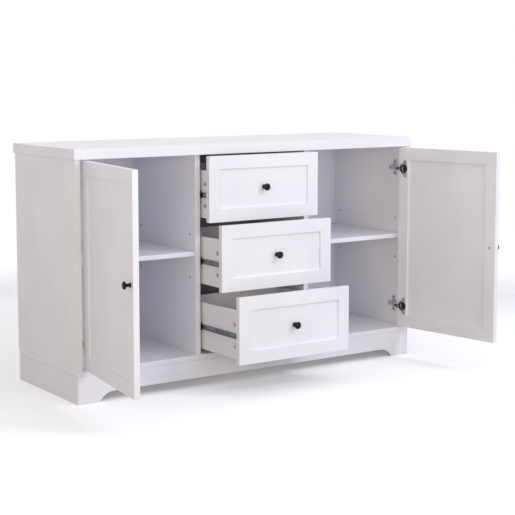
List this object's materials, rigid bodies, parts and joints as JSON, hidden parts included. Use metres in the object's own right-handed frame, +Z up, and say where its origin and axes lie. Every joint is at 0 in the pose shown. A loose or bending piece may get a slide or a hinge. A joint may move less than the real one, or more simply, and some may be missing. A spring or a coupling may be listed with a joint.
{
  "type": "sideboard buffet",
  "caption": "White sideboard buffet with recessed-panel doors and drawers, a thick top, inner shelves, black mushroom knobs and a bracket-foot plinth.",
  "frame": {"origin": "on the floor, under the middle of the carcass", "axes": "+X to the right of someone facing the doors, +Y towards the wall behind it, +Z up"},
  "size_m": [1.4664, 0.865, 0.8],
  "materials": {
    "white_lacquer": "satin",
    "white_melamine": "satin",
    "drawer_melamine": "satin",
    "white_hardboard": "satin",
    "black_knob": "gloss",
    "nickel_hinge": "satin",
    "hinge_link_steel": "satin",
    "zinc_slide": "satin",
    "zinc_screw": "satin",
    "cam_alloy": "matte",
    "pin_steel": "satin",
    "ball_cage": "satin"
  },
  "bodies": {
    "carcass": {"top_board": "white_lacquer", "bottom_board": "white_lacquer", "side_panel_left": "white_lacquer", "side_panel_right": "white_lacquer", "divider_left": "white_melamine", "divider_right": "white_melamine", "back_panel": "white_hardboard", "plinth_front": "white_lacquer", "plinth_side_left": "white_lacquer", "plinth_side_right": "white_lacquer", "plinth_back": "white_lacquer", "plinth_middle": "white_lacquer", "shelf_left": "white_melamine", "shelf_right": "white_melamine", "shelf_pins": "pin_steel", "slide_channels": "zinc_slide", "hinge_arms": "nickel_hinge", "hinge_plates": "nickel_hinge", "hinge_plate_screws": "zinc_screw"},
    "drawer_upper": {"drawer_upper_front": "white_lacquer", "drawer_upper_side_left": "drawer_melamine", "drawer_upper_side_right": "drawer_melamine", "drawer_upper_back": "drawer_melamine", "drawer_upper_bottom": "white_hardboard", "drawer_upper_knob": "black_knob", "drawer_upper_slide_runners": "zinc_slide", "drawer_upper_cam_locks": "cam_alloy"},
    "ball_cages_upper": {"drawer_upper_ball_cages": "ball_cage"},
    "drawer_middle": {"drawer_middle_front": "white_lacquer", "drawer_middle_side_left": "drawer_melamine", "drawer_middle_side_right": "drawer_melamine", "drawer_middle_back": "drawer_melamine", "drawer_middle_bottom": "white_hardboard", "drawer_middle_knob": "black_knob", "drawer_middle_slide_runners": "zinc_slide", "drawer_middle_cam_locks": "cam_alloy"},
    "ball_cages_middle": {"drawer_middle_ball_cages": "ball_cage"},
    "drawer_lower": {"drawer_lower_front": "white_lacquer", "drawer_lower_side_left": "drawer_melamine", "drawer_lower_side_right": "drawer_melamine", "drawer_lower_back": "drawer_melamine", "drawer_lower_bottom": "white_hardboard", "drawer_lower_knob": "black_knob", "drawer_lower_slide_runners": "zinc_slide", "drawer_lower_cam_locks": "cam_alloy"},
    "ball_cages_lower": {"drawer_lower_ball_cages": "ball_cage"},
    "door_left": {"door_left_frame": "white_lacquer", "door_left_panel": "white_lacquer", "door_left_knob": "black_knob", "door_left_knob_screw": "zinc_screw", "door_left_hinge_cups": "nickel_hinge"},
    "arm_links_left": {"hinge_arm_links_left": "hinge_link_steel"},
    "cup_links_left": {"hinge_cup_links_left": "hinge_link_steel"},
    "door_right": {"door_right_frame": "white_lacquer", "door_right_panel": "white_lacquer", "door_right_knob": "black_knob", "door_right_knob_screw": "zinc_screw", "door_right_hinge_cups": "nickel_hinge"},
    "arm_links_right": {"hinge_arm_links_right": "hinge_link_steel"},
    "cup_links_right": {"hinge_cup_links_right": "hinge_link_steel"}
  },
  "joints": [
    {"name": "door_left_hinge", "type": "hinge", "parent": "carcass", "child": "door_left", "pos_m": [-0.649, -0.2185, 0.4365], "axis": [0, 0, -1], "range_deg": [-98.5, 6.5]},
    {"name": "arm_links_left_pivot", "type": "hinge", "parent": "carcass", "child": "arm_links_left", "pos_m": [-0.629, -0.199, 0.4365], "axis": [0, 0, -1], "range_deg": [-99, 7]},
    {"name": "cup_links_left_pivot", "type": "hinge", "parent": "door_left", "child": "cup_links_left", "pos_m": [-0.6391, -0.2402, 0.4365], "axis": [0, 0, -1], "range_deg": [-7, 99]},
    {"name": "door_right_hinge", "type": "hinge", "parent": "carcass", "child": "door_right", "pos_m": [0.649, -0.2185, 0.4365], "axis": [0, 0, 1], "range_deg": [-98.5, 6.5]},
    {"name": "arm_links_right_pivot", "type": "hinge", "parent": "carcass", "child": "arm_links_right", "pos_m": [0.629, -0.199, 0.4365], "axis": [0, 0, 1], "range_deg": [-99, 7]},
    {"name": "cup_links_right_pivot", "type": "hinge", "parent": "door_right", "child": "cup_links_right", "pos_m": [0.6391, -0.2402, 0.4365], "axis": [0, 0, 1], "range_deg": [-7, 99]},
    {"name": "drawer_upper_slide", "type": "slide", "parent": "carcass", "child": "drawer_upper", "axis": [0, -1, 0], "range_m": [-0.05, 0.2]},
    {"name": "ball_cages_upper_roll", "type": "slide", "parent": "carcass", "child": "ball_cages_upper", "axis": [0, -1, 0], "range_m": [-0.025, 0.1]},
    {"name": "drawer_middle_slide", "type": "slide", "parent": "carcass", "child": "drawer_middle", "axis": [0, -1, 0], "range_m": [-0.124, 0.126]},
    {"name": "ball_cages_middle_roll", "type": "slide", "parent": "carcass", "child": "ball_cages_middle", "axis": [0, -1, 0], "range_m": [-0.062, 0.063]},
    {"name": "drawer_lower_slide", "type": "slide", "parent": "carcass", "child": "drawer_lower", "axis": [0, -1, 0], "range_m": [-0.224, 0.026]},
    {"name": "ball_cages_lower_roll", "type": "slide", "parent": "carcass", "child": "ball_cages_lower", "axis": [0, -1, 0], "range_m": [-0.112, 0.013]}
  ],
  "couplings": [
    {"joint": "arm_links_left_pivot", "follows": "door_left_hinge", "ratio": 1},
    {"joint": "cup_links_left_pivot", "follows": "door_left_hinge", "ratio": -1},
    {"joint": "arm_links_right_pivot", "follows": "door_right_hinge", "ratio": 1},
    {"joint": "cup_links_right_pivot", "follows": "door_right_hinge", "ratio": -1},
    {"joint": "ball_cages_upper_roll", "follows": "drawer_upper_slide", "ratio": 0.5},
    {"joint": "ball_cages_middle_roll", "follows": "drawer_middle_slide", "ratio": 0.5},
    {"joint": "ball_cages_lower_roll", "follows": "drawer_lower_slide", "ratio": 0.5}
  ]
}
